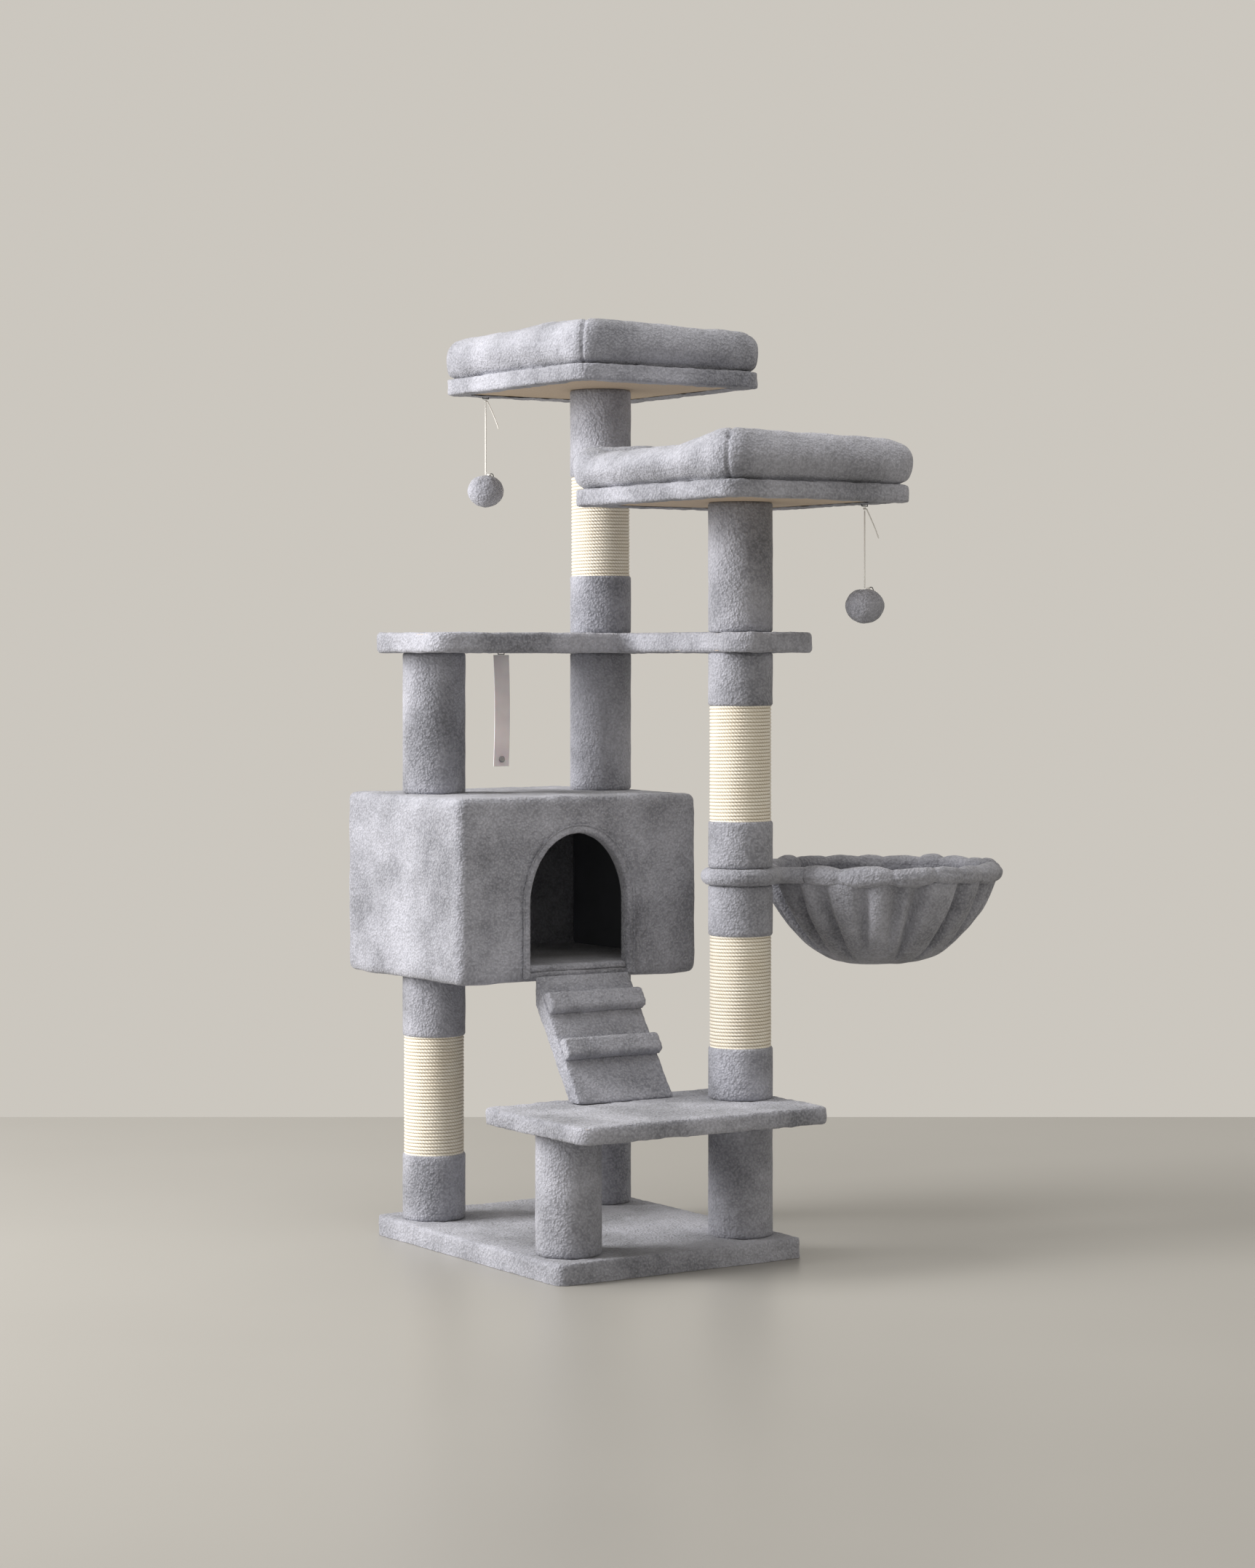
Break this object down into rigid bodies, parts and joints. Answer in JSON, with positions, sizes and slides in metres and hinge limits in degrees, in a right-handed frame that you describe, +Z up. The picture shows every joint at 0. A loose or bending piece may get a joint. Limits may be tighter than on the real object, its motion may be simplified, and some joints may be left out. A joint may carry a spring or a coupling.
{
  "type": "cat tree",
  "caption": "Plush covered cat tree with a base, a low step, a house with a ramp, a hammock, sisal posts, a middle platform, perches, hanging toys and a wall strap.",
  "frame": {"origin": "centre of the underside of the base", "axes": "+Z up, +X along the front edge towards the hammock, -Y the side of the step, the ramp and the doorway"},
  "size_m": [0.7837, 0.7461, 1.3125],
  "materials": {
    "plush": "short pile, brushed",
    "sisal": "twisted cord, matt",
    "lining": "short pile",
    "paper_tube": "matt card",
    "steel": "zinc plated",
    "cord": "braided",
    "strap": "translucent white, satin",
    "board": "raw particle board"
  },
  "bodies": {
    "frame": {"base_board": "board", "base_cover": "plush", "door_trim": "plush", "hammock_hub": "board", "house_back_wall": "board", "house_floor": "board", "house_front_wall": "board", "house_lining": "lining", "house_roof": "board", "house_side_walls": "board", "house_skin": "plush", "joining_studs": "steel", "lower_perch_board": "board", "lower_perch_bolster": "plush", "lower_perch_cover": "plush", "lower_perch_pad": "plush", "platform_board": "board", "platform_cover": "plush", "post_a_lower_plush": "plush", "post_a_lower_sisal": "sisal", "post_a_tubes": "paper_tube", "post_a_upper_plush": "plush", "post_b_plush": "plush", "post_b_tube": "paper_tube", "post_bolts": "steel", "post_c_foot_plush": "plush", "post_c_lower_plush": "plush", "post_c_lower_sisal": "sisal", "post_c_middle_plush": "plush", "post_c_middle_sisal": "sisal", "post_c_tubes": "paper_tube", "post_c_upper_plush": "plush", "post_d_lower_plush": "plush", "post_d_lower_sisal": "sisal", "post_d_middle_plush": "plush", "post_d_tubes": "paper_tube", "post_d_upper_plush": "plush", "post_d_upper_sisal": "sisal", "post_end_discs": "board", "ramp_board": "board", "ramp_cover": "plush", "ramp_rungs": "plush", "staples": "steel", "step_board": "board", "step_cover": "plush", "top_perch_board": "board", "top_perch_bolster": "plush", "top_perch_cover": "plush", "top_perch_pad": "plush"},
    "hammock": {"hammock_ring": "steel", "hammock_sleeve": "plush", "hammock_basket": "plush"},
    "left_toy_knot": {"left_toy_tail": "cord"},
    "left_toy": {"left_toy_string": "cord", "left_toy_ball": "plush"},
    "right_toy_knot": {"right_toy_tail": "cord"},
    "right_toy": {"right_toy_string": "cord", "right_toy_ball": "plush"},
    "wall_strap": {"anchor_strap": "strap", "anchor_screw": "steel"}
  },
  "joints": [
    {"name": "hammock_swivel", "type": "hinge", "parent": "frame", "child": "hammock", "pos_m": [0.142, -0.18, 0.528], "axis": [0, 0, 1], "range_deg": [-100, 20]},
    {"name": "left_toy_swing_x", "type": "hinge", "parent": "frame", "child": "left_toy_knot", "pos_m": [0.044, 0.345, 1.2195], "axis": [1, 0, 0], "range_deg": [-60, 60]},
    {"name": "left_toy_swing_y", "type": "hinge", "parent": "left_toy_knot", "child": "left_toy", "pos_m": [0.044, 0.345, 1.2195], "axis": [0, 1, 0], "range_deg": [-35, 60]},
    {"name": "right_toy_swing_x", "type": "hinge", "parent": "frame", "child": "right_toy_knot", "pos_m": [0.287, -0.275, 1.0405], "axis": [1, 0, 0], "range_deg": [-60, 40]},
    {"name": "right_toy_swing_y", "type": "hinge", "parent": "right_toy_knot", "child": "right_toy", "pos_m": [0.287, -0.275, 1.0405], "axis": [0, 1, 0], "range_deg": [-35, 30]},
    {"name": "wall_strap_swing", "type": "hinge", "parent": "frame", "child": "wall_strap", "pos_m": [-0.095, 0.072, 0.8375], "axis": [1, 0, 0], "range_deg": [-80, 25]}
  ]
}
